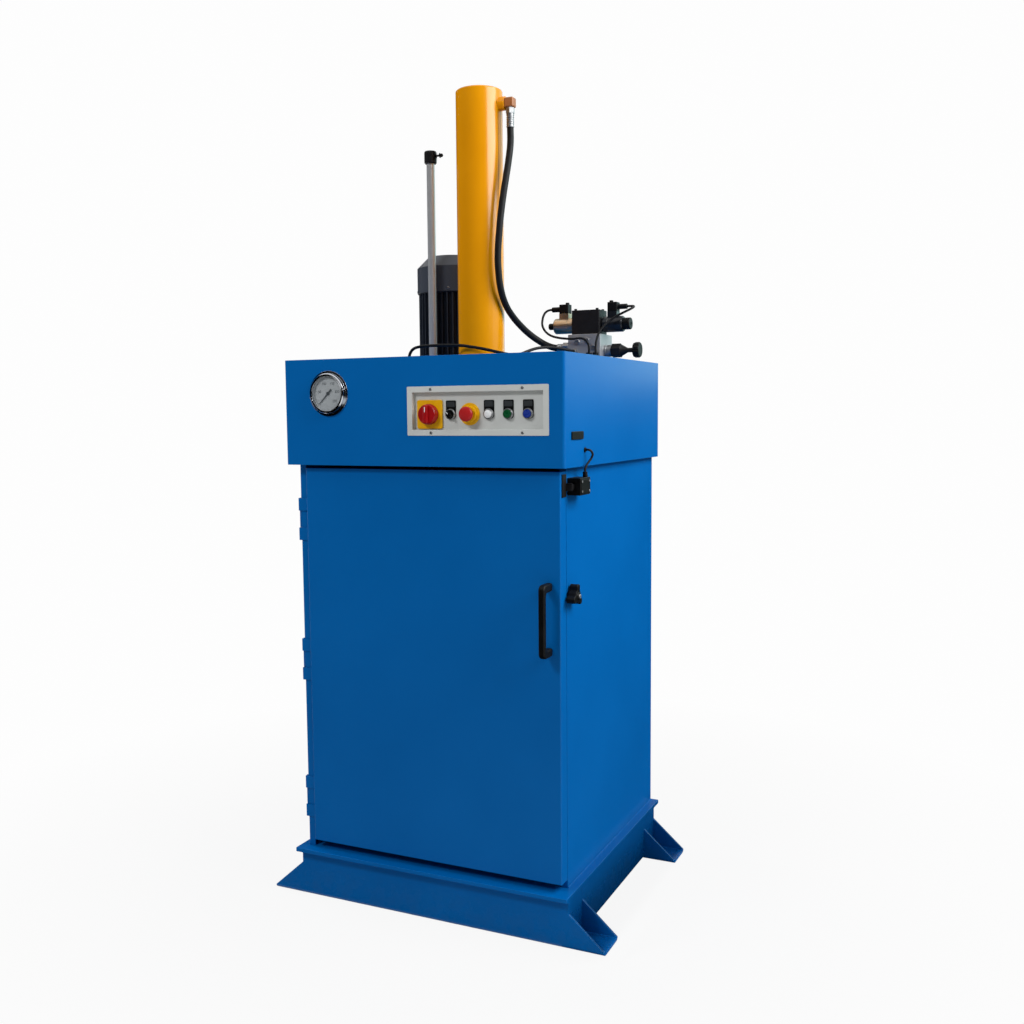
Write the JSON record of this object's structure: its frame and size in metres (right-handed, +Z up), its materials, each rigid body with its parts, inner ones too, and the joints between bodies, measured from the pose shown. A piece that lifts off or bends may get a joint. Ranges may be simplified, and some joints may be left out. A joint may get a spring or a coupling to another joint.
{
  "type": "drum baler",
  "caption": "Blue steel press cabinet on channel feet with a swing door, control panel and gauge on its head, and a top-mounted hydraulic ram that presses waste into a drum.",
  "frame": {"origin": "on the floor under the middle of the machine's bounding box, channels resting on the floor", "axes": "+Z up along the ram, -Y towards the operator and the door, +X to the latch side"},
  "size_m": [1.068, 0.852, 2.4],
  "materials": {
    "blue_paint": "gloss enamel",
    "ochre_paint": "satin enamel",
    "motor_paint": "satin enamel",
    "motor_iron": "painted casting",
    "ivory_paint": "satin powder coat",
    "tank_paint": "satin primer",
    "black_plastic": "fine grain",
    "yellow_plastic": "smooth",
    "red_plastic": "smooth",
    "white_plastic": "smooth",
    "green_plastic": "smooth",
    "blue_plastic": "smooth",
    "steel": "turned or brushed",
    "rod_chrome": "ground and plated",
    "aluminium": "milled",
    "bronze": "turned",
    "black_steel": "black finish",
    "hose_rubber": "smooth cover",
    "clear_glass": "polished",
    "dial_enamel": "matt enamel"
  },
  "bodies": {
    "machine": {"base_channels": "blue_paint", "base_cross_plates": "blue_paint", "base_plate": "blue_paint", "side_wall_left": "blue_paint", "side_wall_right": "blue_paint", "rear_wall": "blue_paint", "head_floor": "blue_paint", "head_shell": "blue_paint", "head_cover": "blue_paint", "oil_tank": "tank_paint", "gear_pump": "aluminium", "cylinder_barrel": "ochre_paint", "cylinder_gland": "steel", "guide_bush": "bronze", "motor_frame": "motor_iron", "motor_fan_cover": "motor_paint", "manifold_block": "aluminium", "valve_body": "black_steel", "solenoids": "black_steel", "din_plugs": "black_plastic", "relief_valve": "black_steel", "hose_fittings": "steel", "cable_glands": "black_plastic", "pressure_hose": "hose_rubber", "gauge_hose": "hose_rubber", "plug_cable_left": "hose_rubber", "plug_cable_right": "hose_rubber", "interlock_cable": "hose_rubber", "panel_tray": "ivory_paint", "panel_screws": "steel", "main_switch_plate": "yellow_plastic", "legend_plates": "black_plastic", "button_bezels": "steel", "estop_collar": "yellow_plastic", "pilot_lamp": "white_plastic", "gauge_case": "steel", "gauge_dial": "dial_enamel", "gauge_lens": "clear_glass", "side_cover_plate": "black_plastic", "wall_hinges": "blue_paint", "interlock_switch": "black_plastic"},
    "door": {"door_panel": "blue_paint", "door_handle": "black_plastic", "door_hinges": "blue_paint", "interlock_key": "steel"},
    "ram": {"piston": "steel", "piston_rod": "rod_chrome", "platen": "blue_paint", "guide_rod": "rod_chrome", "stop_collar": "black_steel"},
    "main_switch": {"main_switch_knob": "red_plastic"},
    "selector": {"selector_knob": "black_plastic"},
    "estop": {"estop_button": "red_plastic"},
    "green_key": {"green_button": "green_plastic"},
    "blue_key": {"blue_button": "blue_plastic"},
    "needle": {"gauge_pointer": "black_steel"},
    "latch": {"latch_knob": "black_plastic", "latch_disc": "steel"},
    "relief": {"relief_knob": "black_plastic"},
    "rotor": {"motor_rotor": "steel"}
  },
  "joints": [
    {"name": "door_swing", "type": "hinge", "parent": "machine", "child": "door", "pos_m": [-0.418, -0.35, 0.721], "axis": [0, 0, -1], "range_deg": [0, 115]},
    {"name": "ram_stroke", "type": "slide", "parent": "machine", "child": "ram", "axis": [0, 0, -1], "range_m": [0, 0.59]},
    {"name": "main_switch_turn", "type": "hinge", "parent": "machine", "child": "main_switch", "pos_m": [0.037, -0.38, 1.442], "axis": [0, 1, 0], "range_deg": [0, 90]},
    {"name": "selector_turn", "type": "hinge", "parent": "machine", "child": "selector", "pos_m": [0.101, -0.38, 1.442], "axis": [0, 1, 0], "range_deg": [0, 90]},
    {"name": "estop_press", "type": "slide", "parent": "machine", "child": "estop", "axis": [0, 1, 0], "range_m": [0, 0.005]},
    {"name": "green_press", "type": "slide", "parent": "machine", "child": "green_key", "axis": [0, 1, 0], "range_m": [0, 0.003], "stiffness_N_per_m": 800},
    {"name": "blue_press", "type": "slide", "parent": "machine", "child": "blue_key", "axis": [0, 1, 0], "range_m": [0, 0.003], "stiffness_N_per_m": 800},
    {"name": "needle_turn", "type": "hinge", "parent": "machine", "child": "needle", "pos_m": [-0.283, -0.3975, 1.503], "axis": [0, 1, 0], "range_deg": [0, 270]},
    {"name": "latch_turn", "type": "hinge", "parent": "machine", "child": "latch", "pos_m": [0.413, -0.315, 0.957], "axis": [1, 0, 0], "range_deg": [0, 90]},
    {"name": "relief_turn", "type": "hinge", "parent": "machine", "child": "relief", "pos_m": [0.435, 0.198, 1.632], "axis": [1, 0, 0], "range_deg": [-360, 360]},
    {"name": "motor_spin", "type": "hinge", "parent": "machine", "child": "rotor", "pos_m": [-0.17, 0.153, 1.7], "axis": [0, 0, 1], "continuous": true}
  ]
}
